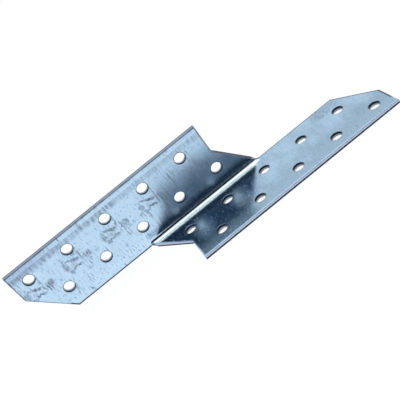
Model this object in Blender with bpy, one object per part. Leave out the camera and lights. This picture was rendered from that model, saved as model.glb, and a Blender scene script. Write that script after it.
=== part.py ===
"""Rafter angle bracket: one galvanised steel sheet, cut to a Z-shaped blank and folded once to a right angle.

Units are metres and +Z is up. The bracket lies on its flat leg, whose outer face is at Z = 0. The fold runs
along X, the flat leg reaches towards -Y, and the upright leg rises from the fold at the back. The two legs
are shifted along the fold in opposite directions, so a half turn about the line that halves the fold's
angle, at the middle of the fold, brings the bracket onto itself.

The blank is drawn flat, with x along the fold and u across it: u is zero on the fold's centre line, positive
towards the upright leg's outer edge and negative towards the flat leg's. Then it is folded.
"""

from math import cos, floor, pi, radians, sin

import bmesh
import bpy
from mathutils import Vector

# Sheet and fold
SHEET_THICKNESS = 0.0020
INNER_BEND_RADIUS = 0.00175
NEUTRAL_FACTOR = 0.45          # depth of the neutral line in the bent sheet, as a share of the thickness
FOLD_FADE = 0.0016             # length past the fold's end over which the bend runs out into a flat free edge

# Legs
LEG_WIDTH = 0.0337             # from the other leg's outer face to this leg's outer edge
LEG_LENGTH = 0.100             # along the outer edge
LEG_SHIFT = 0.070              # how far one leg is moved along the fold against the other
SQUARE_CUT = 0.0144            # the part of each leg's end that is cut square, from the outer edge
SLANT_RUN = 0.015              # length along the fold of the slanted part of each end
FREE_EDGE_REACH = 0.0009       # how far a leg's free inner edge reaches past the other leg's inner face

# Nail holes
HOLE_DIAMETER = 0.0050
HOLE_PITCH = 0.020
END_DISTANCE = 0.0075          # from the leg's outer end to the first hole of the outer row
LAST_HOLE_MARGIN = 0.0075      # least distance along a row from its last hole to the leg's edge
OUTER_ROW_INSET = 0.0075       # from the leg's outer edge to the row's centre line
INNER_ROW_INSET = 0.0221
INNER_ROW_STAGGER = 0.010      # the inner row lies this much further along the leg than the outer row

# Edge finish and resolution
EDGE_ROUNDING = 0.00040        # the rolled-over and worn edge that shearing leaves
EDGE_RESOLUTION = 1
HOLE_SEGMENTS = 24
BEND_STEPS_OUTER = 3           # facets from each tangent line to the free edge's line
BEND_STEPS_MIDDLE = 2          # facets between the two free edges' lines
FADE_STEPS = 4
MERGE_DISTANCE = 1e-6
SHARP_ANGLE = radians(50)

ZINC_COLOUR = (0.52, 0.62, 0.70, 1.0)
ZINC_ROUGHNESS = 0.32

NODE_NAME = "bracket"
COLLECTION_NAME = "rafter_angle_bracket"

# Sizes that follow from the driving dimensions
BEND_HALF = pi / 4 * (INNER_BEND_RADIUS + NEUTRAL_FACTOR * SHEET_THICKNESS)
LEG_INSIDE = LEG_WIDTH - SHEET_THICKNESS
BLANK_HALF = BEND_HALF + LEG_INSIDE - INNER_BEND_RADIUS
FREE_EDGE = BEND_HALF - INNER_BEND_RADIUS - FREE_EDGE_REACH
SQUARE_END = BLANK_HALF - SQUARE_CUT
HALF_LENGTH = (LEG_LENGTH + LEG_SHIFT) / 2
LEG_START = -HALF_LENGTH
LEG_END = LEG_START + LEG_LENGTH


def clear_scene():
    """Remove every object, so that the model starts from an empty scene."""
    for obj in list(bpy.data.objects):
        bpy.data.objects.remove(obj, do_unlink=True)


def new_collection(name):
    collection = bpy.data.collections.new(name)
    bpy.context.scene.collection.children.link(collection)
    return collection


def leg_end_x(u):
    """The x of the upright leg's end nearest the other leg, square at first and then slanted outwards."""
    return LEG_END + SLANT_RUN * max(SQUARE_END - u, 0.0) / (SQUARE_END - FREE_EDGE)


def notch_x():
    """The x where the other leg's slanted cut meets this leg's free inner edge."""
    return -leg_end_x(-FREE_EDGE)


def half_outline():
    """The upright leg's side of the blank, from the notch at the fold's end round to its slanted cut."""
    return [
        Vector((notch_x(), FREE_EDGE)),
        Vector((LEG_START + SLANT_RUN, FREE_EDGE)),
        Vector((LEG_START, SQUARE_END)),
        Vector((LEG_START, BLANK_HALF)),
        Vector((LEG_END, BLANK_HALF)),
        Vector((LEG_END, SQUARE_END)),
    ]


def leg_hole_centres():
    """Centres of the nail holes in the upright leg, on the flat blank."""
    rows = [(OUTER_ROW_INSET, 0.0), (INNER_ROW_INSET, INNER_ROW_STAGGER)]
    centres = []
    for inset, stagger in rows:
        u = BLANK_HALF - inset
        first = LEG_START + END_DISTANCE + stagger
        pitches_that_fit = floor((leg_end_x(u) - LAST_HOLE_MARGIN - first) / HOLE_PITCH)
        centres += [Vector((first + number * HOLE_PITCH, u)) for number in range(pitches_that_fit + 1)]
    return centres


def with_half_turn(points):
    """The points of one leg, followed by the same points turned half round for the other leg."""
    return points + [-point for point in points]


def circle_points(centre, diameter, segments):
    """A circle's points, clockwise, because a hole runs the other way round from the outline."""
    angles = [-2 * pi * step / segments for step in range(segments)]
    return [centre + Vector((cos(angle), sin(angle))) * diameter / 2 for angle in angles]


def add_closed_line(curve, points):
    spline = curve.splines.new("POLY")
    spline.points.add(len(points) - 1)
    for slot, point in zip(spline.points, points):
        slot.co = (point.x, point.y, 0.0, 1.0)
    spline.use_cyclic_u = True


def flat_blank_mesh():
    """The sheared blank with its punched holes and rounded edges, halfway through the sheet at Z = 0."""
    curve = bpy.data.curves.new("blank_outline", "CURVE")
    curve.dimensions = "2D"
    curve.fill_mode = "BOTH"
    curve.extrude = SHEET_THICKNESS / 2 - EDGE_ROUNDING
    curve.bevel_depth = EDGE_ROUNDING
    curve.bevel_resolution = EDGE_RESOLUTION
    curve.offset = -EDGE_ROUNDING
    add_closed_line(curve, with_half_turn(half_outline()))
    for centre in with_half_turn(leg_hole_centres()):
        add_closed_line(curve, circle_points(centre, HOLE_DIAMETER, HOLE_SEGMENTS))
    drawing = bpy.data.objects.new("blank_outline", curve)
    bpy.context.scene.collection.objects.link(drawing)
    depsgraph = bpy.context.evaluated_depsgraph_get()
    mesh = bpy.data.meshes.new_from_object(drawing.evaluated_get(depsgraph))
    bpy.data.objects.remove(drawing, do_unlink=True)
    bpy.data.curves.remove(curve)
    return mesh


def evenly(start, end, steps):
    return [start + (end - start) * step / steps for step in range(steps + 1)]


def bend_lines():
    """The u of each line that the bend is faceted on, with the free edges' own lines among them."""
    edge = abs(FREE_EDGE)
    lines = evenly(-BEND_HALF, -edge, BEND_STEPS_OUTER)
    lines += evenly(-edge, edge, BEND_STEPS_MIDDLE)[1:]
    lines += evenly(edge, BEND_HALF, BEND_STEPS_OUTER)[1:]
    return lines


def fade_lines():
    """The x of each line that the run-out past the fold's ends is faceted on."""
    start = abs(notch_x())
    right = evenly(start, start + FOLD_FADE, FADE_STEPS)
    return right + [-x for x in right]


def cut_across(bm, faces, point, normal):
    """Add the edges where a plane crosses the given faces."""
    edges = {edge for face in faces for edge in face.edges}
    verts = {vert for face in faces for vert in face.verts}
    geometry = list(verts) + list(edges) + list(faces)
    bmesh.ops.bisect_plane(bm, geom=geometry, dist=MERGE_DISTANCE, plane_co=point, plane_no=normal)


def strip_faces(bm, half_width, half_length):
    """The faces that lie whole within a rectangle about the middle of the fold."""
    def inside(vert):
        return abs(vert.co.y) < half_width + MERGE_DISTANCE and abs(vert.co.x) < half_length + MERGE_DISTANCE
    return [face for face in bm.faces if all(inside(vert) for vert in face.verts)]


def facet_fold(bm):
    """Cut the blank along the lines that the fold needs, and only where it needs them."""
    along_u = (0.0, 1.0, 0.0)
    along_x = (1.0, 0.0, 0.0)
    lines = bend_lines()
    for u in (lines[0], lines[-1]):
        cut_across(bm, bm.faces[:], (0.0, u, 0.0), along_u)
    for x in fade_lines():
        cut_across(bm, strip_faces(bm, BEND_HALF, HALF_LENGTH), (x, 0.0, 0.0), along_x)
    for u in lines[1:-1]:
        cut_across(bm, strip_faces(bm, BEND_HALF, max(fade_lines())), (0.0, u, 0.0), along_u)
    bmesh.ops.triangulate(bm, faces=bm.faces, quad_method="BEAUTY", ngon_method="BEAUTY")


def smooth_step(value):
    value = min(max(value, 0.0), 1.0)
    return value * value * (3 - 2 * value)


def in_upright_plane(u, depth):
    """Distances along the flat leg and up the upright leg of a blank's point in the upright leg's plane."""
    return Vector((-depth, INNER_BEND_RADIUS + u - BEND_HALF))


def in_flat_plane(u, depth):
    return Vector((INNER_BEND_RADIUS - u - BEND_HALF, -depth))


def on_bend(u, depth):
    """The same for a point in the bend, which turns a quarter circle between its tangent lines."""
    angle = (BEND_HALF - u) / (2 * BEND_HALF) * pi / 2
    centre = Vector((INNER_BEND_RADIUS, INNER_BEND_RADIUS))
    return centre - (INNER_BEND_RADIUS + depth) * Vector((cos(angle), sin(angle)))


def folded(x, u, depth):
    """Where a point of the blank goes when it is folded; depth is taken from the inner face.

    Past the fold's ends only one leg has material, the upright one at the left and the flat one at the
    right. There the bend runs out, and the free inner edge lies in its leg's plane.
    """
    if u > BEND_HALF - MERGE_DISTANCE:
        place = in_upright_plane(u, depth)
    elif u < MERGE_DISTANCE - BEND_HALF:
        place = in_flat_plane(u, depth)
    else:
        free_edge = in_upright_plane(u, depth) if x < 0 else in_flat_plane(u, depth)
        fade = smooth_step((abs(x) - abs(notch_x())) / FOLD_FADE)
        place = on_bend(u, depth).lerp(free_edge, fade)
    return Vector((x, -place.x, place.y))


def fold_blank(mesh):
    """Facet the flat blank where it bends and move every vertex to its folded place."""
    bm = bmesh.new()
    bm.from_mesh(mesh)
    bmesh.ops.remove_doubles(bm, verts=bm.verts, dist=MERGE_DISTANCE)
    facet_fold(bm)
    for vert in bm.verts:
        vert.co = folded(vert.co.x, vert.co.y, SHEET_THICKNESS / 2 - vert.co.z)
    bm.to_mesh(mesh)
    bm.free()


def zinc_material():
    material = bpy.data.materials.new("galvanised_steel")
    material.use_nodes = True
    shader = material.node_tree.nodes["Principled BSDF"]
    shader.inputs["Base Color"].default_value = ZINC_COLOUR
    shader.inputs["Metallic"].default_value = 1.0
    shader.inputs["Roughness"].default_value = ZINC_ROUGHNESS
    return material


def make_bracket(collection):
    """The folded sheet, with its origin at the inner corner of the angle, at the middle of the fold."""
    mesh = flat_blank_mesh()
    mesh.name = NODE_NAME
    fold_blank(mesh)
    mesh.materials.append(zinc_material())
    mesh.shade_smooth()
    mesh.set_sharp_from_angle(angle=SHARP_ANGLE)
    bracket = bpy.data.objects.new(NODE_NAME, mesh)
    collection.objects.link(bracket)
    bracket.location = (0.0, (LEG_INSIDE - SHEET_THICKNESS) / 2, SHEET_THICKNESS)
    return bracket


def main():
    clear_scene()
    make_bracket(new_collection(COLLECTION_NAME))


main()
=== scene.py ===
# %% [markdown]
# # A rafter angle bracket
# This notebook dresses one small piece of ironmongery: a zinc-coated steel sheet that was sheared, punched
# with 20 nail holes and folded once to a right angle. The imported model is loaded first as a fixed frame, so
# that everything made here lies in the same metres. Its box is kept.

# %% Load the frame
from math import cos, floor, pi, radians, sin

import bmesh
import bpy
from mathutils import Matrix, Vector


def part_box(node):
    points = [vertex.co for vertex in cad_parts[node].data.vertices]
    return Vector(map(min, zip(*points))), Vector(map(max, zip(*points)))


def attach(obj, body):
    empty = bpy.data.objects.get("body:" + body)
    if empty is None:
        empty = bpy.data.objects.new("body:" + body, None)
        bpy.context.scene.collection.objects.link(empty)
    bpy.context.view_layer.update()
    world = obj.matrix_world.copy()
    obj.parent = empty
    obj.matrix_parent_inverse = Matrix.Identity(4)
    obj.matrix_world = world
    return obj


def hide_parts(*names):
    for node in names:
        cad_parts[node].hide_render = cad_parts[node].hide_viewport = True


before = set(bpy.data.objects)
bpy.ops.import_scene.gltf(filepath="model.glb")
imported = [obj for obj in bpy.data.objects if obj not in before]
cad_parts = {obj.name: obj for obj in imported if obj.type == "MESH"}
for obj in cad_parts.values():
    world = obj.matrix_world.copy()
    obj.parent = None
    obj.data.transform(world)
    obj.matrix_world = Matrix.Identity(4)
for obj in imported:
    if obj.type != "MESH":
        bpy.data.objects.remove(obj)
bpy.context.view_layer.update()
bracket_low, bracket_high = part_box("bracket")
print("nodes in the frame:", len(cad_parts))
print("bracket, millimetres:", [round(side * 1000, 2) for side in bracket_high - bracket_low])

# %% [markdown]
# # The sizes of the sheet
# The outer sizes are read from the frame, so the new piece can't drift from it. What a box can't tell,
# such as the sheet's thickness or the slant of the ends, is named here in metres. The blank is drawn flat:
# x runs along the fold and u across it, with u = 0 on the fold's centre line. Bending keeps the length of
# one line inside the sheet, and the strip that becomes the fold is as wide as that line is long.

# %% Name the sizes
MM = 0.001
SHEET = 2.0 * MM
INNER_RADIUS = 2.1 * MM
NEUTRAL_FACTOR = 0.45
SLANT_RUN = 15.0 * MM
SQUARE_CUT = 14.4 * MM
FREE_EDGE_REACH = 0.9 * MM

overall_length = bracket_high.x - bracket_low.x
leg_width = bracket_high.z - bracket_low.z
leg_length = 100.0 * MM

bend_half = pi / 4 * (INNER_RADIUS + NEUTRAL_FACTOR * SHEET)
blank_half = bend_half + leg_width - SHEET - INNER_RADIUS
free_edge = bend_half - INNER_RADIUS - FREE_EDGE_REACH
square_end = blank_half - SQUARE_CUT
leg_start = -overall_length / 2
leg_end = leg_start + leg_length
print("flat blank, millimetres:", round(overall_length / MM, 1), "x", round(2 * blank_half / MM, 1))

# %% [markdown]
# # The outline of the blank
# Both legs have the same outline, and a half turn about the middle carries one onto the other. So only six
# corners are worked out, and the other six are the same points with their signs changed. The slanted end
# comes back over the fold's centre line until it meets the free inner edge of the other leg.

# %% Corners of the outline


def leg_end_at(u):
    """The x of the upright leg's end nearest the other leg: square at first, and then slanted outwards."""
    return leg_end + SLANT_RUN * max(square_end - u, 0.0) / (square_end - free_edge)


notch = -leg_end_at(-free_edge)
half_outline = [
    Vector((notch, free_edge)),
    Vector((leg_start + SLANT_RUN, free_edge)),
    Vector((leg_start, square_end)),
    Vector((leg_start, blank_half)),
    Vector((leg_end, blank_half)),
    Vector((leg_end, square_end)),
]
outline = half_outline + [-corner for corner in half_outline]
print("corners:", len(outline), "fold length, millimetres:", round(-2 * notch / MM, 1))

# %% [markdown]
# # The nail holes
# The holes take 4 mm ring-shank nails. They stand in two rows along each leg, and the inner row is
# half a pitch behind the outer one, so that two nails never sit in the same grain line of the timber.
# Each row starts at a fixed distance from the leg's end and goes on as long as a whole hole still fits.

# %% Centres of the holes
HOLE_RADIUS = 2.5 * MM
HOLE_PITCH = 20.0 * MM
END_DISTANCE = 7.5 * MM
LAST_HOLE_MARGIN = 7.5 * MM
HOLE_ROWS = [(7.5 * MM, 0.0), (22.1 * MM, 10.0 * MM)]

hole_centres = []
for inset, stagger in HOLE_ROWS:
    row_u = blank_half - inset
    first_x = leg_start + END_DISTANCE + stagger
    in_row = floor((leg_end_at(row_u) - LAST_HOLE_MARGIN - first_x) / HOLE_PITCH) + 1
    for number in range(in_row):
        centre = Vector((first_x + number * HOLE_PITCH, row_u))
        hole_centres += [centre, -centre]
print("nail holes:", len(hole_centres))

# %% [markdown]
# # Filling the flat face
# The outline is a ring of edges, each hole is a circle, and one fill turns everything between them into
# faces. A plate could also be drilled with Boolean modifiers, but they are slow for 20 holes and leave
# slivers at the rims, which would spoil the bevels of the next step.

# %% Draw and fill the blank
HOLE_SEGMENTS = 64

blank = bmesh.new()
ring = [blank.verts.new((corner.x, corner.y, 0.0)) for corner in outline]
for start, end in zip(ring, ring[1:] + ring[:1]):
    blank.edges.new((start, end))
for centre in hole_centres:
    bmesh.ops.create_circle(
        blank,
        segments=HOLE_SEGMENTS,
        radius=HOLE_RADIUS,
        matrix=Matrix.Translation((centre.x, centre.y, 0.0)),
    )
bmesh.ops.triangle_fill(blank, use_beauty=True, edges=blank.edges[:], normal=(0.0, 0.0, 1.0))
print("filled faces:", len(blank.faces))

# %% [markdown]
# # From a face to a plate
# The sheet is equally thick everywhere, so the face is extruded downwards by its thickness. A Solidify
# modifier would make the plate too, but only later, when its rims are out of reach of the bevels. An inset
# first lays a narrow ring of faces along all the edges. Whatever is rounded later stays inside that ring, and
# the flat middle stays flat. The face that was drawn becomes the inner face of the bracket.

# %% Thicken the blank
RIM_RING = 1.0 * MM

bmesh.ops.inset_region(
    blank, faces=blank.faces[:], thickness=RIM_RING, use_boundary=True, use_even_offset=True
)
thickened = bmesh.ops.extrude_face_region(blank, geom=blank.faces[:], use_keep_orig=True)
far_side = [item for item in thickened["geom"] if isinstance(item, bmesh.types.BMVert)]
bmesh.ops.translate(blank, verts=far_side, vec=(0.0, 0.0, -SHEET))
bmesh.ops.recalc_face_normals(blank, faces=blank.faces[:])
print("faces of the plate:", len(blank.faces))

# %% [markdown]
# # Rolled and crisp edges
# Shearing and punching pull the surface down on the side where the blade enters. So on the inner face of
# the bracket every edge rolls over softly, while the far side keeps a crisp one. A Bevel modifier would
# give all edges one width. So each kind of edge is found by its height and place, and bevelled by itself.

# %% Bevel the rims
SHEARED_ROLLOVER = 0.55 * MM
PUNCHED_ROLLOVER = 0.22 * MM
FAR_SIDE_ROUNDING = 0.15 * MM
LEVEL_TOLERANCE = SHEET / 100
RIM_ANGLE = radians(45)


def near_hole(point):
    """Whether a point of the blank lies on or beside the rim of a hole."""
    return any((point.xy - centre).length < HOLE_RADIUS + RIM_RING / 2 for centre in hole_centres)


def rim_edges(height, around_holes):
    """The edges between the wall and the face at one height, round the holes or round the outline."""
    found = []
    for edge in blank.edges:
        level = all(abs(vert.co.z - height) < LEVEL_TOLERANCE for vert in edge.verts)
        turns = len(edge.link_faces) == 2 and edge.calc_face_angle() > RIM_ANGLE
        if level and turns and near_hole(edge.verts[0].co) == around_holes:
            found.append(edge)
    return found


def round_rim(height, around_holes, offset, segments):
    edges = rim_edges(height, around_holes)
    bmesh.ops.bevel(
        blank,
        geom=edges,
        offset=offset,
        segments=segments,
        profile=0.5,
        affect="EDGES",
        material=-1,
    )
    print("rounded", len(edges), "edges by", round(offset / MM, 2), "mm")


round_rim(0.0, around_holes=False, offset=SHEARED_ROLLOVER, segments=5)
round_rim(0.0, around_holes=True, offset=PUNCHED_ROLLOVER, segments=4)
round_rim(-SHEET, around_holes=False, offset=FAR_SIDE_ROUNDING, segments=2)
round_rim(-SHEET, around_holes=True, offset=FAR_SIDE_ROUNDING, segments=2)

# %% [markdown]
# # Lines to bend along
# A flat face can't bend between its vertices. Knife cuts across the fold's strip give it enough rows to
# follow the radius, and a few cuts the other way let the bend run out where only one leg carries on.
# Subdividing the whole sheet would do it too, but it would also fill the flat legs with faces.

# %% Cut the strip of the fold
BEND_STEPS = 24
FADE_STEPS = 8
FOLD_FADE = 1.6 * MM
MERGE = 1e-6


def evenly(start, end, steps):
    return [start + (end - start) * step / steps for step in range(steps + 1)]


def faces_within(half_length, half_width):
    def inside(vert):
        return abs(vert.co.x) < half_length + MERGE and abs(vert.co.y) < half_width + MERGE

    return [face for face in blank.faces if all(inside(vert) for vert in face.verts)]


def knife(faces, point, normal):
    parts = {item for face in faces for item in (*face.verts, *face.edges, face)}
    bmesh.ops.bisect_plane(blank, geom=list(parts), dist=MERGE, plane_co=point, plane_no=normal)


bend_lines = evenly(-bend_half, bend_half, BEND_STEPS)
fade_lines = evenly(-notch, -notch + FOLD_FADE, FADE_STEPS)
for u in (bend_lines[0], bend_lines[-1]):
    knife(blank.faces[:], (0.0, u, 0.0), (0.0, 1.0, 0.0))
for x in fade_lines + [-x for x in fade_lines]:
    knife(faces_within(overall_length, bend_half), (x, 0.0, 0.0), (1.0, 0.0, 0.0))
for u in bend_lines[1:-1]:
    knife(faces_within(fade_lines[-1], bend_half), (0.0, u, 0.0), (0.0, 1.0, 0.0))
print("faces after the cuts:", len(blank.faces))

# %% [markdown]
# # What the finish has to know
# Marks on sheet metal are made while it is flat, and they follow it round the fold. So before the fold,
# each point's place on the blank goes into a UV map in metres. Its depth below the inner face, its nearness
# to a cut edge and whether that edge is a hole's go into three attributes. The material reads all four.

# %% Store the flat places
outline_sides = list(zip(outline, outline[1:] + outline[:1]))


def distance_to_cut(point):
    """How far a point of the blank lies from the nearest sheared or punched edge."""
    nearest = min(abs((point - centre).length - HOLE_RADIUS) for centre in hole_centres)
    for start, end in outline_sides:
        along = end - start
        share = min(max((point - start).dot(along) / along.length_squared, 0.0), 1.0)
        nearest = min(nearest, (point - start - along * share).length)
    return nearest


depth_layer = blank.verts.layers.float.new("depth")
rim_layer = blank.verts.layers.float.new("rim")
punched_layer = blank.verts.layers.float.new("punched")
blank_uv = blank.loops.layers.uv.new("blank")
for vert in blank.verts:
    vert[depth_layer] = -vert.co.z / SHEET
    vert[rim_layer] = min(distance_to_cut(vert.co.xy) / RIM_RING, 1.0)
    vert[punched_layer] = float(near_hole(vert.co))
for face in blank.faces:
    for loop in face.loops:
        loop[blank_uv].uv = loop.vert.co.xy
print("vertices with a flat place:", len(blank.verts))

# %% [markdown]
# # The fold
# A Simple Deform modifier could bend the sheet, but not let the bend run out where a leg ends. So each
# point is moved by the rule of a real fold: points of the legs into their planes, and points of the strip
# round the fold's centre. Past the fold's ends only one leg is left, and there the curve fades into that
# leg's plane.

# %% Fold the blank


def smooth_step(value):
    value = min(max(value, 0.0), 1.0)
    return value * value * (3 - 2 * value)


def in_upright_leg(u, depth):
    return Vector((-depth, INNER_RADIUS + u - bend_half))


def in_flat_leg(u, depth):
    return Vector((INNER_RADIUS - u - bend_half, -depth))


def round_the_bend(u, depth):
    angle = (bend_half - u) / (2 * bend_half) * pi / 2
    centre = Vector((INNER_RADIUS, INNER_RADIUS))
    return centre - (INNER_RADIUS + depth) * Vector((cos(angle), sin(angle)))


def folded(x, u, depth):
    """Distance from the inner corner along the flat leg and up the upright leg, as a place in the frame."""
    if u > bend_half - MERGE:
        reach, height = in_upright_leg(u, depth)
    elif u < MERGE - bend_half:
        reach, height = in_flat_leg(u, depth)
    else:
        run_out = in_upright_leg(u, depth) if x < 0 else in_flat_leg(u, depth)
        fade = smooth_step((abs(x) + notch) / FOLD_FADE)
        reach, height = round_the_bend(u, depth).lerp(run_out, fade)
    return Vector((x, bracket_high.y - SHEET - reach, bracket_low.z + SHEET + height))


for vert in blank.verts:
    vert.co = folded(vert.co.x, vert.co.y, -vert.co.z)
sheet_mesh = bpy.data.meshes.new("bracket_sheet")
blank.to_mesh(sheet_mesh)
blank.free()
print("folded sheet:", len(sheet_mesh.polygons), "faces")

# %% [markdown]
# # Smooth shading on a flat sheet
# Zinc is shiny enough to show the smallest wave. Plain smooth shading would bend the light near every
# rim. The Weighted Normal modifier lets the big flat faces decide, and only the rolled rims and the fold
# look curved. The piece then takes the place of the frame's own bracket.

# %% Make the piece
FACE_WEIGHT = 80

bracket_sheet = bpy.data.objects.new("bracket_sheet", sheet_mesh)
bpy.context.scene.collection.objects.link(bracket_sheet)
sheet_mesh.shade_smooth()
weighted = bracket_sheet.modifiers.new("flat_faces_lead", "WEIGHTED_NORMAL")
weighted.mode = "FACE_AREA"
weighted.weight = FACE_WEIGHT
weighted.keep_sharp = False
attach(bracket_sheet, "root")
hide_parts("bracket")
print("bracket_sheet stands for the frame's bracket")

# %% [markdown]
# # Helpers for node trees
# A finish is wired from many small nodes. Placed one by one they would fill pages, so a few short helpers
# add them. Each takes plain values or the sockets of other nodes, and most give back a socket, so that they
# can be written inside each other like a formula.

# %% Helpers that add a node


def node(tree, kind, inputs=None, **settings):
    """Add a node. An input may be a plain value or the socket of another node."""
    made = tree.nodes.new(kind)
    for name, value in settings.items():
        setattr(made, name, value)
    for name, value in (inputs or {}).items():
        if isinstance(value, bpy.types.NodeSocket):
            tree.links.new(value, made.inputs[name])
        else:
            made.inputs[name].default_value = value
    return made


def calc(tree, operation, *values):
    made = node(tree, "ShaderNodeMath", dict(enumerate(values)), operation=operation)
    return made.outputs["Value"]


def vector_calc(tree, operation, inputs, output="Vector"):
    return node(tree, "ShaderNodeVectorMath", inputs, operation=operation).outputs[output]


def separate(tree, vector):
    """The X, Y and Z of a vector, as sockets with those names."""
    return node(tree, "ShaderNodeSeparateXYZ", {"Vector": vector}).outputs


def join(tree, x, y, z=0.0):
    return node(tree, "ShaderNodeCombineXYZ", {"X": x, "Y": y, "Z": z}).outputs["Vector"]


def remap(tree, value, from_low, from_high, to_low=0.0, to_high=1.0):
    """Bring a value from one range into another, with soft ends."""
    inputs = {
        "Value": value,
        "From Min": from_low,
        "From Max": from_high,
        "To Min": to_low,
        "To Max": to_high,
    }
    return node(tree, "ShaderNodeMapRange", inputs, interpolation_type="SMOOTHSTEP").outputs["Result"]


def noise(tree, vector, waves, detail=2.0, roughness=0.5, output="Fac"):
    """Noise on the flat sheet. The two waves say how many fit into a millimetre along x and across it."""
    spread = node(tree, "ShaderNodeMapping", {"Vector": vector, "Scale": (*waves, 1.0)}).outputs["Vector"]
    inputs = {"Vector": spread, "Scale": 1.0, "Detail": detail, "Roughness": roughness}
    return node(tree, "ShaderNodeTexNoise", inputs).outputs[output]


def blend_colours(tree, factor, first, second):
    inputs = {0: factor, 6: first, 7: second}
    return node(tree, "ShaderNodeMix", inputs, data_type="RGBA", clamp_factor=True).outputs[2]


print("helpers that add a node: 8")

# %% [markdown]
# # Helpers that read like arithmetic
# Most masks are products of ramps, or the largest of several marks. A ramp is written below as two numbers,
# where it starts and where it ends, and runs from zero to one between them. Two more numbers give it
# other values at its start and at its end.

# %% Helpers for masks


def chain(tree, operation, values):
    """The same step of arithmetic from one value to the next."""
    result = values[0]
    for value in values[1:]:
        result = calc(tree, operation, result, value)
    return result


def product(tree, *values):
    return chain(tree, "MULTIPLY", values)


def total(tree, *values):
    return chain(tree, "ADD", values)


def largest(tree, *values):
    return chain(tree, "MAXIMUM", values)


def between(tree, share, low, high):
    """A value that goes straight from low to high while the share goes from zero to one."""
    return calc(tree, "MULTIPLY_ADD", share, high - low, low)


def within(tree, value, rise, fall):
    """One between two soft borders and zero outside them."""
    return product(tree, remap(tree, value, *rise), remap(tree, value, *fall))


def noise_mask(tree, vector, waves, limits, spread=(0.0, 1.0), detail=2.0):
    """Noise of which only the part between two limits counts, spread over a range of its own."""
    return remap(tree, noise(tree, vector, waves, detail), *limits, *spread)


print("helpers for masks: 7")

# %% [markdown]
# # Helpers for node groups
# A node group is a small finish of its own, with named inputs and outputs, that a material can use as one
# node. The first helper opens an empty group, the second gives out its results, and the third places it.

# %% Helpers for groups
FLOAT = "NodeSocketFloat"
VECTOR = "NodeSocketVector"
NOWHERE = (0.0, 0.0, 0.0)


def new_group(name, inputs, outputs):
    """An empty node group. Inputs are name: (socket type, default); outputs are names of float sockets."""
    group = bpy.data.node_groups.new(name, "ShaderNodeTree")
    for socket_name, (kind, default) in inputs.items():
        socket = group.interface.new_socket(socket_name, in_out="INPUT", socket_type=kind)
        socket.default_value = default
    for socket_name in outputs:
        group.interface.new_socket(socket_name, in_out="OUTPUT", socket_type=FLOAT)
    return group, group.nodes.new("NodeGroupInput").outputs, group.nodes.new("NodeGroupOutput").inputs


def give_out(group, group_out, results):
    for name, value in results.items():
        group.links.new(value, group_out[name])
    print("group:", group.name, "with", len(group.nodes), "nodes")


def place(tree, group, named):
    return node(tree, "ShaderNodeGroup", named, node_tree=group)


print("helpers for groups: 3")

# %% [markdown]
# # Rolled zinc
# A coated coil carries fine streaks from the rolls. On this blank they run across the fold. Beside them
# lie specks, and broad, faint clouds where the zinc cooled unevenly. A picture of zinc would bring its own
# lamps and stains, so each kind of mark is a noise, stretched by giving it more waves one way than the
# other. The group gives out each kind by itself, so the material can send the skin to the roughness and
# the clouds to the colour. A row of the table holds the waves, the limits that count, the range they are
# spread over and the detail.

# %% Group: rolled zinc
ZINC_LAYERS = {
    "Skin": ((9.0, 6.0), (0.38, 0.60), (0.0, 1.0), 1.0),
    "Fine Lines": ((1.5, 0.30), (0.525, 0.68), (0.0, 1.0), 2.0),
    "Long Lines": ((1.4, 0.08), (0.58, 0.73), (0.0, 1.0), 2.0),
    "Patches": ((0.22, 0.12), (0.44, 0.66), (0.15, 1.0), 2.0),
    "Specks": ((1.2, 0.8), (0.62, 0.74), (0.0, 1.0), 1.0),
    "Mottle": ((0.55, 0.40), (0.38, 0.66), (0.0, 1.0), 3.0),
}
CLOUD_WAVES = (0.12, 0.07)
CLOUD_DETAIL = 3.0
CLOUD_ROUGHNESS = 0.55

zinc_grain, grain_in, grain_out = new_group(
    "zinc_grain", {"Place": (VECTOR, NOWHERE)}, ["Skin", "Streaks", "Specks", "Clouds", "Mottle"]
)
layers = {name: noise_mask(zinc_grain, grain_in["Place"], *row) for name, row in ZINC_LAYERS.items()}
lines = largest(zinc_grain, layers["Fine Lines"], layers["Long Lines"])
grain_values = {
    "Skin": layers["Skin"],
    "Streaks": product(zinc_grain, lines, layers["Patches"]),
    "Specks": layers["Specks"],
    "Clouds": noise(zinc_grain, grain_in["Place"], CLOUD_WAVES, CLOUD_DETAIL, CLOUD_ROUGHNESS),
    "Mottle": layers["Mottle"],
}
give_out(zinc_grain, grain_out, grain_values)

# %% [markdown]
# # One soft spot
# Every rub and smudge is built from soft ovals. They could be painted on a picture, but a picture has a
# fixed sharpness and a size in pixels, and numbers can be moved. The group measures how far a place lies
# from a centre, in units of the oval's half size, and can lean or bow the oval first.

# %% Group: soft spot
SPOT_BORDER = (1.2, 0.5)

soft_spot, spot_in, spot_out = new_group(
    "soft_spot",
    {
        "Place": (VECTOR, NOWHERE),
        "Centre": (VECTOR, NOWHERE),
        "Half Size": (VECTOR, (1.0, 1.0, 1.0)),
        "Lean": (FLOAT, 0.0),
        "Bow": (FLOAT, 0.0),
        "Strength": (FLOAT, 1.0),
    },
    ["Mask"],
)
from_centre = vector_calc(soft_spot, "SUBTRACT", {0: spot_in["Place"], 1: spot_in["Centre"]})
off_centre = separate(soft_spot, from_centre)
across = off_centre["X"]
leaning = product(soft_spot, across, spot_in["Lean"])
bowed = product(soft_spot, across, across, spot_in["Bow"])
along = calc(soft_spot, "SUBTRACT", calc(soft_spot, "SUBTRACT", off_centre["Y"], leaning), bowed)
bent = join(soft_spot, across, along)
scaled = vector_calc(soft_spot, "DIVIDE", {0: bent, 1: spot_in["Half Size"]})
reach = vector_calc(soft_spot, "LENGTH", {0: scaled}, "Value")
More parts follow.
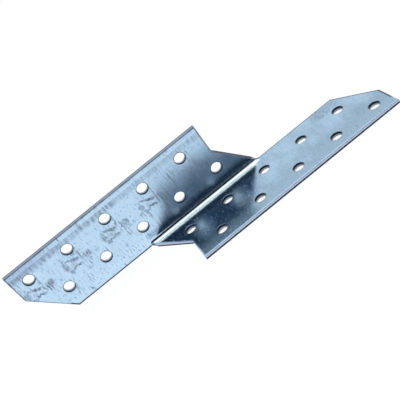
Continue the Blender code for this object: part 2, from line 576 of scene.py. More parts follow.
spot_mask = product(soft_spot, remap(soft_spot, reach, *SPOT_BORDER), spot_in["Strength"])
give_out(soft_spot, spot_out, {"Mask": spot_mask})


def spots(tree, place_in_mm, rows):
    """The strongest of several soft spots. A row is centre x, y, half size x, y, lean, bow, strength."""
    masks = []
    for x, y, half_x, half_y, lean, bow, strength in rows:
        named = {
            "Place": place_in_mm,
            "Centre": (x, y, 0.0),
            "Half Size": (half_x, half_y, 1.0),
            "Lean": lean,
            "Bow": bow,
            "Strength": strength,
        }
        masks.append(place(tree, soft_spot, named).outputs["Mask"])
    return largest(tree, *masks)


# %% [markdown]
# # Rub marks from the press
# The strip moves on by one hole pitch at each stroke, and the press's pad rubs it in the same place every
# time. So the upright leg carries one rub mark a pitch, between the two rows of holes. Drawing every mark
# would take several times the nodes. Instead the place is wrapped to one pitch, and a handful of soft
# spots and thin strokes make the mark. Noise shifts their places and wears parts of them away, so no two
# marks look alike. A row holds the centre, the half size, the lean, the bow and the strength.

# %% Group: rub marks
RUB_SPOTS = [
    (-5.6, 17.6, 1.3, 2.9, 0.0, 0.0, 0.70),
    (-3.4, 19.6, 1.6, 0.7, -0.20, 0.0, 0.80),
    (-0.6, 18.3, 2.5, 1.0, -0.28, 0.05, 1.00),
    (-1.4, 15.1, 3.4, 0.75, 0.08, -0.10, 1.00),
    (-4.6, 14.1, 1.1, 1.5, 0.0, 0.0, 0.75),
    (-2.4, 16.6, 1.5, 1.2, 0.0, 0.0, 0.40),
    (6.0, 16.9, 1.3, 2.0, 0.0, 0.0, 0.85),
    (4.0, 16.8, 1.0, 2.2, 0.0, 0.0, 0.60),
]
RUB_STROKES = [
    (2.3, 19.4, 0.42, 6.2, 0.0, 0.0, 0.80),
    (3.7, 15.0, 0.38, 5.2, 0.0, 0.0, 0.95),
    (5.0, 15.6, 0.34, 4.2, 0.0, 0.0, 0.80),
]
RAGGED_WAVES = (0.9, 0.5)
SPOT_WEAR = ((2.4, 0.40), (0.36, 0.58), (0.40, 1.0))
STROKE_WEAR = ((1.1, 0.22), (0.42, 0.56), (0.15, 1.0), 3.0)
SPOT_SWAY = 2.0
STROKE_SWAY = 1.1
RUB_LIFT = 1.5
LAST_RUB = (-11.0, -14.0)

rub_marks, rub_in, rub_out = new_group("rub_marks", {"Place": (VECTOR, NOWHERE)}, ["Mask"])
rub_place = separate(rub_marks, rub_in["Place"])
first_hole = (leg_start + END_DISTANCE) / MM
half_pitch = HOLE_PITCH / MM / 2
past_first_hole = calc(rub_marks, "SUBTRACT", rub_place["X"], first_hole)
wrapped = calc(rub_marks, "WRAP", past_first_hole, half_pitch, -half_pitch)
ragged = noise(rub_marks, rub_in["Place"], RAGGED_WAVES)
lifted = total(rub_marks, rub_place["Y"], between(rub_marks, ragged, RUB_LIFT, -RUB_LIFT))
rub_kinds = []
for rows, sway, wear in ((RUB_SPOTS, SPOT_SWAY, SPOT_WEAR), (RUB_STROKES, STROKE_SWAY, STROKE_WEAR)):
    swayed = total(rub_marks, wrapped, between(rub_marks, ragged, -sway, sway))
    drawn = spots(rub_marks, join(rub_marks, swayed, lifted), rows)
    rub_kinds.append(product(rub_marks, drawn, noise_mask(rub_marks, rub_in["Place"], *wear)))
before_last = remap(rub_marks, rub_place["X"], *LAST_RUB)
give_out(rub_marks, rub_out, {"Mask": product(rub_marks, largest(rub_marks, *rub_kinds), before_last)})

# %% [markdown]
# # Guide marks
# The strip also runs against a guide along its outer edge. It leaves a band of short ticks across the grain
# and a broken dark line close to the edge. Both are heights above the inner corner, made uneven by noise
# that is stretched the way the ticks run.

# %% Group: guide marks
TICK_NOISE = ((1.5, 0.10), (0.40, 0.62))
BROAD_NOISE = ((0.12, 0.12), (0.34, 0.64), (0.0, 1.0), 3.0)
SWAY_WAVES = (0.8, 0.05)
TICKS_SWAY = 1.5
TICKS_FROM = (25.4, 27.4)
TICKS_TO = (29.3, 28.8)
BROAD_PRESS = (0.5, 1.0)
TICK_PRESS = (0.15, 0.70)
HATCH_GROUND = 0.15
TOWARDS_END = (0.0, -50.0, 0.62, 1.0)
LINE_PIECES = ((0.11, 0.0), (0.48, 0.60))
LINE_FROM = (31.0, 31.4)
LINE_TO = (31.9, 31.6)
LINE_STRENGTH = 0.9

guide_marks, guide_in, guide_out = new_group("guide_marks", {"Place": (VECTOR, NOWHERE)}, ["Mask"])
guide_place = separate(guide_marks, guide_in["Place"])
height = guide_place["Y"]
sway_noise = noise(guide_marks, guide_in["Place"], SWAY_WAVES)
uneven = between(guide_marks, sway_noise, -TICKS_SWAY, TICKS_SWAY)
band_foot = remap(guide_marks, total(guide_marks, height, uneven), *TICKS_FROM)
band = product(guide_marks, band_foot, remap(guide_marks, height, *TICKS_TO))
ticks = noise_mask(guide_marks, guide_in["Place"], *TICK_NOISE)
broad = noise_mask(guide_marks, guide_in["Place"], *BROAD_NOISE)
broad_press = between(guide_marks, broad, *BROAD_PRESS)
tick_press = between(guide_marks, ticks, *TICK_PRESS)
hatch = total(guide_marks, product(guide_marks, broad_press, tick_press), HATCH_GROUND)
ticked = product(guide_marks, band, hatch, remap(guide_marks, guide_place["X"], *TOWARDS_END))
line = within(guide_marks, height, LINE_FROM, LINE_TO)
pieces_of_line = noise_mask(guide_marks, guide_in["Place"], *LINE_PIECES)
lined = product(guide_marks, line, pieces_of_line, LINE_STRENGTH)
give_out(guide_marks, guide_out, {"Mask": largest(guide_marks, ticked, lined)})

# %% [markdown]
# # Sheared and punched walls
# A blade cuts the upper part of a wall smooth and then the rest breaks off rough. The walls could be faces
# with materials of their own, but the border between the two parts is ragged and lies in the middle of a
# face. So the group works from the rim and depth attributes. It tells wall from face, and broken from
# smooth.

# %% Group: cut walls
WALL_RIM = (0.30, 0.05)
BORDER_WAVES = (0.9, 0.9)
BORDER_SWAY = 0.08
BORDER_BLUR = (-0.08, 0.12)

cut_walls, wall_in, wall_out = new_group(
    "cut_walls",
    {
        "Depth": (FLOAT, 0.0),
        "Rim": (FLOAT, 1.0),
        "Place": (VECTOR, NOWHERE),
        "Broken From": (FLOAT, 0.45),
    },
    ["Wall", "Broken"],
)
wall = remap(cut_walls, wall_in["Rim"], *WALL_RIM)
ragged = noise(cut_walls, wall_in["Place"], BORDER_WAVES)
border = total(cut_walls, wall_in["Broken From"], between(cut_walls, ragged, -BORDER_SWAY, BORDER_SWAY))
past_border = calc(cut_walls, "SUBTRACT", wall_in["Depth"], border)
broken = product(cut_walls, wall, remap(cut_walls, past_border, *BORDER_BLUR))
give_out(cut_walls, wall_out, {"Wall": wall, "Broken": broken})

# %% [markdown]
# # The zinc itself
# The coating is bare metal, so the shader is fully metallic and its colour is the tint of its mirror image.
# The material starts from the flat places that were stored before the fold. They are turned into
# millimetres here, once along the whole blank and once as the height above the inner corner on either leg.

# %% Material: galvanised steel
galvanised = bpy.data.materials.new("galvanised_steel")
galvanised.use_nodes = True
tree = galvanised.node_tree
shader = tree.nodes["Principled BSDF"]
blank_place = separate(tree, node(tree, "ShaderNodeUVMap", uv_map="blank").outputs["UV"])
x_mm = product(tree, blank_place["X"], 1 / MM)
u_mm = product(tree, blank_place["Y"], 1 / MM)
from_middle = calc(tree, "ABSOLUTE", x_mm)
corner_gap = (blank_half - (leg_width - SHEET)) / MM
leg_height = calc(tree, "SUBTRACT", calc(tree, "ABSOLUTE", u_mm), corner_gap)
blank_mm = join(tree, x_mm, u_mm)
leg_mm = join(tree, x_mm, leg_height)
depth = node(tree, "ShaderNodeAttribute", attribute_name="depth").outputs["Fac"]
rim = node(tree, "ShaderNodeAttribute", attribute_name="rim").outputs["Fac"]
punched = node(tree, "ShaderNodeAttribute", attribute_name="punched").outputs["Fac"]
print("material:", galvanised.name)

# %% [markdown]
# # Telling the faces and the legs apart
# The inner faces of the two legs lie differently in the light and wear differently, so most marks belong to
# one of them. Two materials would leave a hard seam along the fold, and masks can blend. The line
# between the legs leans a little, so that past the fold's ends the whole edge belongs to its own leg.

# %% Masks of the faces and legs
INNER_DEPTH = (0.6, 0.3)
AWAY_FROM_HOLES = (0.15, 0.0)
LEG_LINE_LEAN = -0.06
LEG_BLEND = 1.2
FOLD_ENDS = (30.0, 27.5)

inner_face = remap(tree, depth, *INNER_DEPTH)
sheared = remap(tree, punched, *AWAY_FROM_HOLES)
leg_side = calc(tree, "MULTIPLY_ADD", x_mm, LEG_LINE_LEAN, u_mm)
upright_side = remap(tree, leg_side, 0.0, LEG_BLEND)
flat_side = remap(tree, leg_side, 0.0, -LEG_BLEND)
on_upright = product(tree, inner_face, upright_side)
on_flat = product(tree, inner_face, flat_side)
in_fold = remap(tree, from_middle, *FOLD_ENDS)
print("nodes so far:", len(tree.nodes))

# %% [markdown]
# # Placing the groups
# Each group goes into the material once, with its own place: the zinc lies on the whole blank, and the
# press leaves its marks by the height on the leg. In the upright leg's holes the smooth part of the wall
# is shallower than elsewhere.

# %% Place the groups
SMOOTH_SHARE = 0.52
SMOOTH_SHARE_UPRIGHT_HOLES = 0.34

grain = place(tree, zinc_grain, {"Place": blank_mm}).outputs
rubs = place(tree, rub_marks, {"Place": leg_mm}).outputs["Mask"]
guides = place(tree, guide_marks, {"Place": leg_mm}).outputs["Mask"]
upright_holes = product(tree, punched, upright_side)
smooth_to = between(tree, upright_holes, SMOOTH_SHARE, SMOOTH_SHARE_UPRIGHT_HOLES)
cuts = place(tree, cut_walls, {"Depth": depth, "Rim": rim, "Place": blank_mm, "Broken From": smooth_to})
wall = cuts.outputs["Wall"]
broken = cuts.outputs["Broken"]
print("nodes so far:", len(tree.nodes))

# %% [markdown]
# # The tint of the two legs
# Fresh zinc is a pale blue grey. Clouds and mottle dull it, and on the flat leg a haze grows towards the
# outer edge and the far end. At the upright leg's far end a trace of grease makes it bluer. Painting the
# leg by hand would give one leg only, and masks that blend one tint into the next can be tuned.

# %% Colour: the legs
ZINC = (0.565, 0.78, 0.99, 1.0)
ZINC_DULL = (0.40, 0.56, 0.71, 1.0)
ZINC_GREASED = (0.40, 0.51, 0.76, 1.0)
CLOUD_LIMITS = (0.36, 0.66)
CLOUDS_ON_UPRIGHT = 0.10
CLOUDS_ON_FLAT = 0.50
MOTTLE_ON_FLAT = 0.22
HAZE_ACROSS = (12.0, 27.0, 0.0, 0.50)
HAZE_ALONG = (35.0, 65.0, 1.0, 1.9)
EDGE_HAZE = (25.5, 29.5, 0.0, 0.40)
GREASE_ALONG = (-52.0, -76.0)
GREASE_HEIGHT = (24.0, 30.0, 0.0, 0.65)

clouds = remap(tree, grain["Clouds"], *CLOUD_LIMITS)
dulled = total(
    tree,
    product(tree, clouds, between(tree, on_flat, CLOUDS_ON_UPRIGHT, CLOUDS_ON_FLAT)),
    product(tree, on_flat, grain["Mottle"], MOTTLE_ON_FLAT),
    product(tree, on_flat, remap(tree, leg_height, *HAZE_ACROSS), remap(tree, x_mm, *HAZE_ALONG)),
    product(tree, on_flat, remap(tree, leg_height, *EDGE_HAZE)),
)
grease_height = remap(tree, leg_height, *GREASE_HEIGHT)
greased = product(tree, on_upright, remap(tree, x_mm, *GREASE_ALONG), grease_height)
colour = blend_colours(tree, dulled, ZINC, ZINC_DULL)
colour = blend_colours(tree, greased, colour, ZINC_GREASED)
print("nodes so far:", len(tree.nodes))

# %% [markdown]
# # The flat leg beside the upright
# Here the flat leg mirrors the upright leg and the dark side of the room, and looks darkest. The mirror image
# alone comes out too pale, so this zone also gets painted shade, a deeper tint. Its border is slanted, as the
# mirror image of the upright leg's slanted end is. Two rubbed patches and many small flecks in it get less of
# the painted shade and stay paler.

# %% Colour: the shaded zone
ZINC_SHADED = (0.17, 0.28, 0.44, 1.0)
FLAT_RUBS = [
    (-7.8, 14.3, 6.2, 10.0, 0.0, 0.0, 0.11),
    (11.8, 14.0, 6.2, 9.5, 0.0, 0.0, 0.09),
]
SHADE_FROM = (6.0, 12.0)
SHADE_TO = (28.0, 19.0)
SHADE_SLANT = 0.5
SHADE_END = (30.5, 24.0, 0.0, 0.90)
SHADE_ON_RUBS = (0.01, 0.09, 1.0, 0.35)
SHADE_ON_FLECKS = (0.0, 1.0, 1.0, 0.1)
FLECK_NOISE = ((1.3, 0.42), (0.55, 0.68))
FLECKS_ALONG = (26.0, 18.0)
FLECKS_FROM = (3.0, 6.0)

rubbed_flat = product(tree, on_flat, spots(tree, leg_mm, FLAT_RUBS))
fleck_zone = product(tree, remap(tree, x_mm, *FLECKS_ALONG), remap(tree, leg_height, *FLECKS_FROM))
flecks = product(tree, on_flat, noise_mask(tree, blank_mm, *FLECK_NOISE), fleck_zone)
slanted_x = calc(tree, "MULTIPLY_ADD", leg_height, SHADE_SLANT, x_mm)
# Painted shade over the flat leg's dark mirror zone.
shaded = product(
    tree,
    on_flat,
    within(tree, leg_height, SHADE_FROM, SHADE_TO),
    remap(tree, slanted_x, *SHADE_END),
    remap(tree, rubbed_flat, *SHADE_ON_RUBS),
    remap(tree, flecks, *SHADE_ON_FLECKS),
)
colour = blend_colours(tree, shaded, colour, ZINC_SHADED)
print("nodes so far:", len(tree.nodes))

# %% [markdown]
# # The zinc in the fold
# The inner curve mirrors the bright ceiling, and its colour adds a painted highlight: near white on the lower
# half of the curve, the brightest band of the whole bracket, and a little greyer on the upper half. Just
# above it on the upright leg lies a darker band of painted shade. Each band is a ramp up and a ramp down
# across the fold.

# %% Colour: the fold
ZINC_PAINTED_HIGHLIGHT = (0.88, 0.90, 0.84, 1.0)
ZINC_PAINTED_HIGHLIGHT_GREY = (0.56, 0.65, 0.66, 1.0)
CREASE_FROM = (2.1, 2.8)
CREASE_TO = (6.5, 4.0)
CREASE_SHARE = 0.55
HIGHLIGHT_HALF = (-0.2, -0.9)
HIGHLIGHT_TO = (5.0, 2.8)
HIGHLIGHT_ENDS = (28.5, 26.0)
HIGHLIGHT_GREY_HALF = (-0.9, -0.2)
HIGHLIGHT_GREY_TO = (1.7, 0.8)

# Painted shade: a darker band in the crease just above the fold.
crease_height = within(tree, leg_height, CREASE_FROM, CREASE_TO)
painted_crease_shade = product(tree, on_upright, in_fold, crease_height, CREASE_SHARE)
in_fold_face = product(tree, in_fold, inner_face)
# Painted highlight on the fold's curve: near white on the lower half, grey on the upper half.
painted_highlight = product(
    tree,
    in_fold_face,
    remap(tree, u_mm, *HIGHLIGHT_HALF),
    remap(tree, leg_height, *HIGHLIGHT_TO),
    remap(tree, from_middle, *HIGHLIGHT_ENDS),
)
highlight_grey_half = remap(tree, u_mm, *HIGHLIGHT_GREY_HALF)
painted_highlight_grey = product(tree, in_fold_face, highlight_grey_half, remap(tree, leg_height, *HIGHLIGHT_GREY_TO))
colour = blend_colours(tree, painted_crease_shade, colour, ZINC_SHADED)
colour = blend_colours(tree, painted_highlight, colour, ZINC_PAINTED_HIGHLIGHT)
colour = blend_colours(tree, painted_highlight_grey, colour, ZINC_PAINTED_HIGHLIGHT_GREY)
print("nodes so far:", len(tree.nodes))

# %% [markdown]
# # Streaks, press marks and smudges
# All of them are zinc that was scraped or soiled, so they share one dark tint and one mask. The strongest
# mark wins, because adding them would turn every crossing black. The flat leg shows the fine marks less,
# and has two smudges of its own near its far end.

# %% Colour: the marks
ZINC_SCUFFED = (0.16, 0.21, 0.30, 1.0)
FLAT_SMUDGES = [
    (62.0, 3.6, 5.5, 4.5, 0.0, 0.0, 0.55),
    (67.5, 3.2, 4.0, 3.5, 0.0, 0.0, 0.35),
]
SMUDGE_NOISE = ((0.9, 0.6), (0.40, 0.60), (0.25, 1.0), 3.0)
STREAK_STRENGTH = 0.80
SPECK_STRENGTH = 0.60
FINE_MARKS_ON_FLAT = 0.4

streaks = product(tree, grain["Streaks"], STREAK_STRENGTH)
specks = product(tree, grain["Specks"], SPECK_STRENGTH)
fine_share = between(tree, on_upright, FINE_MARKS_ON_FLAT, 1.0)
fine_marks = product(tree, largest(tree, streaks, specks), fine_share)
press_marks = product(tree, on_upright, largest(tree, rubs, guides))
smudge_noise = noise_mask(tree, blank_mm, *SMUDGE_NOISE)
smudges = product(tree, on_flat, spots(tree, leg_mm, FLAT_SMUDGES), smudge_noise)
scuffs = largest(tree, fine_marks, press_marks, smudges)
colour = blend_colours(tree, scuffs, colour, ZINC_SCUFFED)
print("nodes so far:", len(tree.nodes))

# %% [markdown]
# # Dark rims
# Where an edge rolls over, it mirrors a shaded part of the room and shows as a thin dark line. That line is
# painted shade here, a dark colour on the rims. It isn't the same everywhere: it runs along the upright leg's
# edges, along the flat leg's back edge past the fold, along the free edge at the fold's other end, and round
# the holes. So each has its own ramp on the rim attribute, which is one on the face and falls to zero at the
# edge.

# %% Colour: the rims
# The dark colour of the rims and of the upright leg's lip is painted shade.
RIM_PAINTED_SHADE = (0.02, 0.03, 0.045, 1.0)
UPRIGHT_RIM = (0.90, 0.30, 0.0, 0.62)
BACK_RIM = (1.0, 0.80, 0.0, 0.90)
BACK_RIM_ALONG = (26.0, 30.0)
BACK_RIM_HEIGHT = (29.0, 26.0)
BACK_LINE = (-0.45, -0.05, 0.0, 0.86)
BACK_LINE_ALONG = (29.5, 31.0)
FREE_RIM = (1.0, 0.75, 0.0, 0.92)
FREE_RIM_ALONG = (-28.5, -31.0)
FREE_RIM_HEIGHT = (4.0, 2.0)
PUNCHED_RIM = (0.45, 0.15)
PUNCHED_RIM_ON_FLAT = 0.5

back_zone = product(tree, remap(tree, x_mm, *BACK_RIM_ALONG), remap(tree, leg_height, *BACK_RIM_HEIGHT))
free_zone = product(tree, remap(tree, x_mm, *FREE_RIM_ALONG), remap(tree, leg_height, *FREE_RIM_HEIGHT))
sheared_rims = largest(
    tree,
    product(tree, on_upright, remap(tree, rim, *UPRIGHT_RIM)),
    product(tree, on_flat, back_zone, remap(tree, rim, *BACK_RIM)),
    product(tree, on_flat, remap(tree, u_mm, *BACK_LINE), remap(tree, x_mm, *BACK_LINE_ALONG)),
    product(tree, on_upright, free_zone, remap(tree, rim, *FREE_RIM)),
)
sheared_rim = product(tree, sheared, sheared_rims)
punched_share = between(tree, upright_side, PUNCHED_RIM_ON_FLAT, 1.0)
punched_rim = product(tree, punched, punched_share, remap(tree, rim, *PUNCHED_RIM))
colour = blend_colours(tree, largest(tree, punched_rim, sheared_rim), colour, RIM_PAINTED_SHADE)
print("nodes so far:", len(tree.nodes))

# %% [markdown]
# # The sheared walls
# Round the outline, a bright smooth strip lies above a dark broken one on the flat leg. The break's
# near-black tint is partly its own dull grey and partly painted shade from the floor close below. The upright
# leg's walls face up and mirror the ceiling, so there both are grey, with a lip of painted shade at the far
# side, and the slanted cut is painted shade, dark all over. Each tint is blended in by a mask, from the broad
# ones to the local ones.

# %% Colour: the sheared walls
SHEARED_SMOOTH = (0.60, 0.68, 0.88, 1.0)
SHEARED_GREY = (0.29, 0.36, 0.49, 1.0)
# The break's near-black tint is partly its own dull grey and partly painted shade; the slanted cut's dark is
# painted shade.
SHEARED_BROKEN = (0.035, 0.05, 0.085, 1.0)
SHEARED_PALE = (0.28, 0.32, 0.37, 1.0)
SLANTED_CUT = (0.05, 0.06, 0.075, 1.0)
SLANT_FROM = (15.2, 15.8)
SLANT_TO = (31.0, 30.0)
SLANT_HEIGHT = (20.0, 18.5)
LIP_OF_UPRIGHT = (0.62, 0.80)

slant_zone = within(tree, from_middle, SLANT_FROM, SLANT_TO)
slanted = product(tree, upright_side, slant_zone, remap(tree, leg_height, *SLANT_HEIGHT))
upright_lip = product(tree, sheared, upright_side, remap(tree, depth, *LIP_OF_UPRIGHT))
sheared_cut = blend_colours(tree, upright_side, SHEARED_SMOOTH, SHEARED_GREY)
sheared_cut = blend_colours(tree, slanted, sheared_cut, SLANTED_CUT)
sheared_break = blend_colours(tree, upright_side, SHEARED_BROKEN, SHEARED_PALE)
sheared_break = blend_colours(tree, upright_lip, sheared_break, RIM_PAINTED_SHADE)
sheared_break = blend_colours(tree, slanted, sheared_break, SLANTED_CUT)
print("nodes so far:", len(tree.nodes))

# %% [markdown]
# # The walls of the holes
# The punch leaves a polished ring at the top of each hole and a broken one below. Their colours are painted
# light
# and shade: the ring is painted shade, near black, and the broken part grows into a painted reflection, paler
# the deeper it lies, and ends in a lip of painted shade. With that the colour is complete. Metal always
# mirrors something, so where a rim or a lip has to stay dark, the surface is also made less metallic.

# %% Colour: the punched walls
# The near-black ring and the dark lip are painted shade; the pale deep part is a painted reflection.
PUNCHED_SMOOTH = (0.008, 0.014, 0.026, 1.0)
PUNCHED_BROKEN = (0.34, 0.40, 0.50, 1.0)
PUNCHED_PALE = (0.68, 0.72, 0.82, 1.0)
PUNCHED_LIP = (0.10, 0.12, 0.16, 1.0)
PALER_WITH_DEPTH = (0.60, 0.90)
LIP_OF_HOLE = (0.84, 0.94)
SHEARED_WALL_STARTS = 0.08
WALL_BLEND = 0.08
LEAST_METALLIC = 0.10

deep_part = remap(tree, depth, *PALER_WITH_DEPTH)
punched_break = blend_colours(tree, deep_part, PUNCHED_BROKEN, PUNCHED_PALE)
punched_break = blend_colours(tree, remap(tree, depth, *LIP_OF_HOLE), punched_break, PUNCHED_LIP)
smooth_cut = blend_colours(tree, punched, sheared_cut, PUNCHED_SMOOTH)
broken_cut = blend_colours(tree, punched, sheared_break, punched_break)
cut_colour = blend_colours(tree, broken, smooth_cut, broken_cut)
cut_from = between(tree, punched, SHEARED_WALL_STARTS, 0.0)
cut_share = product(tree, wall, remap(tree, depth, cut_from, total(tree, cut_from, WALL_BLEND)))
colour = blend_colours(tree, cut_share, colour, cut_colour)
tree.links.new(colour, shader.inputs["Base Color"])
dull_metal = largest(tree, sheared_rim, product(tree, upright_lip, wall))
tree.links.new(between(tree, dull_metal, 1.0, LEAST_METALLIC), shader.inputs["Metallic"])
print("nodes so far:", len(tree.nodes))

# %% [markdown]
# # How the zinc shines
# The flat leg is nearly a mirror, a little hazier beside the fold, at its outer edge and on its rubbed
# patches. The upright leg's skin is matte in countless small spots. Marks, rims and broken walls scatter
# the light most of all. Hazes add up, but of the marks only the roughest counts.

# %% Wire the roughness
SKIN_SMOOTH = 0.14
SKIN_MATTE = 0.38
WORN_FROM = (2.0, 7.0)
MORE_MATTE_ALONG = (-16.0, -10.0, 1.0, 1.20)
MOTTLE_HAZE = 0.03
HAZE_BY_FOLD = (6.0, 2.0, 0.0, 0.10)
HAZE_BY_EDGE = (18.0, 30.0, 0.0, 0.12)
ROLLED_RIM = (0.80, 0.40, 0.0, 0.52)
SCUFF_ROUGHNESS = 0.50
FLECK_ROUGHNESS = 0.30
BROKEN_ROUGHNESS = 0.60
RIM_ROUGHNESS = 0.95

worn_height = remap(tree, leg_height, *WORN_FROM)
matte = product(tree, on_upright, worn_height, grain["Skin"], remap(tree, x_mm, *MORE_MATTE_ALONG))
hazy = total(
    tree,
    between(tree, matte, SKIN_SMOOTH, SKIN_MATTE),
    product(tree, inner_face, worn_height, grain["Mottle"], MOTTLE_HAZE),
    rubbed_flat,
    product(tree, on_flat, in_fold, remap(tree, leg_height, *HAZE_BY_FOLD)),
    product(tree, on_flat, remap(tree, leg_height, *HAZE_BY_EDGE)),
)
roughness = largest(
    tree,
    hazy,
    product(tree, scuffs, SCUFF_ROUGHNESS),
    product(tree, flecks, FLECK_ROUGHNESS),
    product(tree, broken, BROKEN_ROUGHNESS),
    product(tree, sheared, remap(tree, rim, *ROLLED_RIM)),
    product(tree, sheared_rim, RIM_ROUGHNESS),
)
tree.links.new(roughness, shader.inputs["Roughness"])
print("nodes so far:", len(tree.nodes))

# %% [markdown]
# # A skin that is not quite flat
# Hot-dipped zinc has ripples too small to see one by one, and they blur a mirror image evenly. The fold of
# the real bracket is also closed a little past square, which lifts what the upright leg mirrors. The
# mesh keeps the model's square fold, so both only turn the normals. A Normal Map node reads them as a
# colour in which one half is level. The UV map lies along the legs, so the colour's second channel leans
# the normal up or down the leg.

# %% Wire the normals
RIPPLE_WAVES = (6.5, 5.0)
RIPPLE_FLAT = 0.09
RIPPLE_UPRIGHT = 0.125
CALMER_BY_FOLD = (1.0, 9.0, 0.18, 1.0)
CLOSED_BY = radians(2.0)
CLOSED_ABOVE = (2.0, 10.0, 0.0, -0.5 * sin(CLOSED_BY))
LEVEL = 0.5

ripple = noise(tree, blank_mm, RIPPLE_WAVES, detail=1.0, output="Color")
centred = vector_calc(tree, "SUBTRACT", {0: ripple, 1: (LEVEL, LEVEL, LEVEL)})
leg_ripple = between(tree, on_upright, RIPPLE_FLAT, RIPPLE_UPRIGHT)
ripple_size = product(tree, remap(tree, leg_height, *CALMER_BY_FOLD), leg_ripple)
rippled = vector_calc(tree, "SCALE", {0: centred, "Scale": ripple_size})
closed = product(tree, on_upright, remap(tree, leg_height, *CLOSED_ABOVE))
closed_normal = join(tree, LEVEL, total(tree, closed, LEVEL), 1.0)
turned = vector_calc(tree, "ADD", {0: rippled, 1: closed_normal})
skin_normal = node(tree, "ShaderNodeNormalMap", {"Color": turned}, uv_map="blank").outputs["Normal"]
tree.links.new(skin_normal, shader.inputs["Normal"])
bracket_sheet.data.materials.append(galvanised)
print("nodes in the material:", len(tree.nodes))

# %% [markdown]
# # The floor
# The bracket lies on a sheet of white card. One big square is enough, and it lies a hair below the bracket,
# because two faces in the same place would flicker. It is only staged, so it doesn't become a part.

# %% Floor
FLOOR_HALF = 0.9
FLOOR_DROP = 0.2 * MM

table = bmesh.new()
bmesh.ops.create_grid(table, x_segments=1, y_segments=1, size=FLOOR_HALF)
bmesh.ops.translate(table, verts=table.verts[:], vec=(0.0, 0.0, bracket_low.z - FLOOR_DROP))
floor_mesh = bpy.data.meshes.new("floor")
table.to_mesh(floor_mesh)
table.free()
floor_sheet = bpy.data.objects.new("floor", floor_mesh)
bpy.context.scene.collection.objects.link(floor_sheet)
print("floor at", round((bracket_low.z - FLOOR_DROP) / MM, 2), "mm")

# %% [markdown]
# # White card
# The camera has to see the card as clear white, but more light would bleach the zinc too. So the card's
# material sends white straight to the camera and into mirror images, and all other light falls on a plain
# diffuse card that keeps the shadow. Under the flat leg no light gets in, so there the walls of the holes
# mirror much less of the glow.

# %% Material: white card
CARD = (0.86, 0.86, 0.86, 1.0)
WHITE = (1.0, 1.0, 1.0, 1.0)
GLOW_STRENGTH = 1.02
GLOW_TO_CAMERA = 0.93
GLOW_IN_MIRRORS = 0.90
GLOW_UNDER_LEG = 0.3
LEG_STARTS = (-17 * MM, -13 * MM)
LEG_FRONT = (bracket_low.y + 1 * MM, bracket_low.y + 3 * MM)
LEG_BACK = (bracket_high.y - 1 * MM, bracket_high.y - 3 * MM)

paper = bpy.data.materials.new("white_paper")
paper.use_nodes = True
tree = paper.node_tree
tree.nodes.clear()
seen_by = node(tree, "ShaderNodeLightPath").outputs
floor_place = separate(tree, node(tree, "ShaderNodeTexCoord").outputs["Object"])
under_leg = product(
    tree,
    remap(tree, floor_place["X"], *LEG_STARTS),
    within(tree, floor_place["Y"], LEG_FRONT, LEG_BACK),
)
mirrored = largest(tree, seen_by["Is Glossy Ray"], seen_by["Is Transmission Ray"])
in_mirrors = product(tree, mirrored, between(tree, under_leg, 1.0, GLOW_UNDER_LEG), GLOW_IN_MIRRORS)
share = largest(tree, in_mirrors, product(tree, seen_by["Is Camera Ray"], GLOW_TO_CAMERA))
card = node(tree, "ShaderNodeBsdfDiffuse", {"Color": CARD}).outputs["BSDF"]
glow = node(tree, "ShaderNodeEmission", {"Color": WHITE, "Strength": GLOW_STRENGTH}).outputs["Emission"]
mixed = node(tree, "ShaderNodeMixShader", {0: share, 1: card, 2: glow}).outputs["Shader"]
node(tree, "ShaderNodeOutputMaterial", {"Surface": mixed})
floor_mesh.materials.append(paper)
print("material:", paper.name)

# %% [markdown]
# # The studio
# Shiny metal shows the room, so the room is half of the look. Lamps would only make small bright spots on
# such a mirror, so the whole room is painted on the world: pale walls, a broad bright ceiling, and the
# unlit side where the camera stands, with a darker corner behind the camera itself. The zinc mirrors
# that side as the dark zones beside the fold. Where the camera looks past the bracket, it sees plain white.

# %% World
CAMERA_BACK = Vector((-0.03110029, -0.85051072, 0.52503742))
UPWARDS = Vector((0.0, 0.0, 1.0))
FRONT = Vector((0.0, -1.0, 0.0))
WALLS = (0.745, 0.765, 0.78, 1.0)
CEILING = (1.60, 1.60, 1.60, 1.0)
DARK_SIDE = (0.018, 0.030, 0.045, 1.0)
CAMERA_CORNER = (0.010, 0.021, 0.034, 1.0)
CEILING_SPREAD = (38, 50)
DARK_SIDE_SPREAD = (50, 72)
CORNER_SPREAD = (16, 22)
DARK_SIDE_TOP = (52, 40)

studio = bpy.data.worlds.new("studio")
bpy.context.scene.world = studio
studio.use_nodes = True
tree = studio.node_tree
tree.nodes.clear()
heading = node(tree, "ShaderNodeTexCoord").outputs["Generated"]


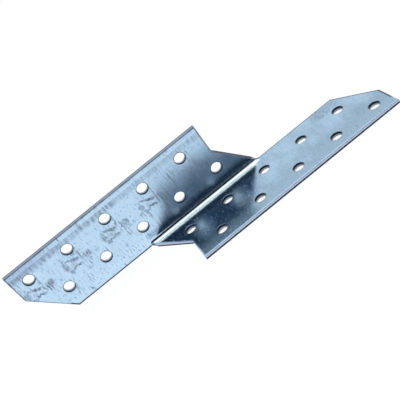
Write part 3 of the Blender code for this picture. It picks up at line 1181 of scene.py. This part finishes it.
def nearness(direction, inner_degrees, outer_degrees):
    """One near a direction of the room and zero away from it."""
    towards = vector_calc(tree, "DOT_PRODUCT", {0: heading, 1: direction.normalized()}, "Value")
    return remap(tree, towards, cos(radians(outer_degrees)), cos(radians(inner_degrees)))


light = blend_colours(tree, nearness(UPWARDS, *CEILING_SPREAD), WALLS, CEILING)
below_lamps = remap(tree, separate(tree, heading)["Z"], *[sin(radians(angle)) for angle in DARK_SIDE_TOP])
in_front = product(tree, nearness(FRONT, *DARK_SIDE_SPREAD), below_lamps)
light = blend_colours(tree, in_front, light, DARK_SIDE)
light = blend_colours(tree, nearness(CAMERA_BACK, *CORNER_SPREAD), light, CAMERA_CORNER)
seen_by = node(tree, "ShaderNodeLightPath").outputs
light = blend_colours(tree, seen_by["Is Camera Ray"], light, WHITE)
room = node(tree, "ShaderNodeBackground", {"Color": light, "Strength": 1.0}).outputs["Background"]
node(tree, "ShaderNodeOutputWorld", {"Surface": room})
print("world:", studio.name)

# %% [markdown]
# # The camera
# It stands in front of the bracket and above it, and is rolled, so that the fold runs from low left to high
# right. Its place was found by matching the hole centres and corners of the sheet, so it is written as a
# target, a direction and a distance, and the roll turns it about its own axis.

# %% Camera
CAMERA_TARGET = Vector((-0.001485, 0.015901, 0.003585))
CAMERA_DISTANCE = 0.3304
CAMERA_ROLL = radians(-37.92)
CAMERA_LENS = 68.84
NEAREST_SEEN = 0.01

camera = bpy.data.objects.new("camera", bpy.data.cameras.new("camera"))
bpy.context.scene.collection.objects.link(camera)
camera.data.lens = CAMERA_LENS
camera.data.clip_start = NEAREST_SEEN
level_right = UPWARDS.cross(CAMERA_BACK).normalized()
level_up = CAMERA_BACK.cross(level_right)
right = cos(CAMERA_ROLL) * level_right + sin(CAMERA_ROLL) * level_up
up = CAMERA_BACK.cross(right)
turn = Matrix((right, up, CAMERA_BACK)).transposed().to_4x4()
camera.matrix_world = Matrix.Translation(CAMERA_TARGET + CAMERA_BACK * CAMERA_DISTANCE) @ turn
bpy.context.scene.camera = camera
bpy.context.scene.view_settings.view_transform = "Standard"
print("camera", [round(value, 4) for value in camera.matrix_world.translation])

# %% Finish
bpy.context.view_layer.update()
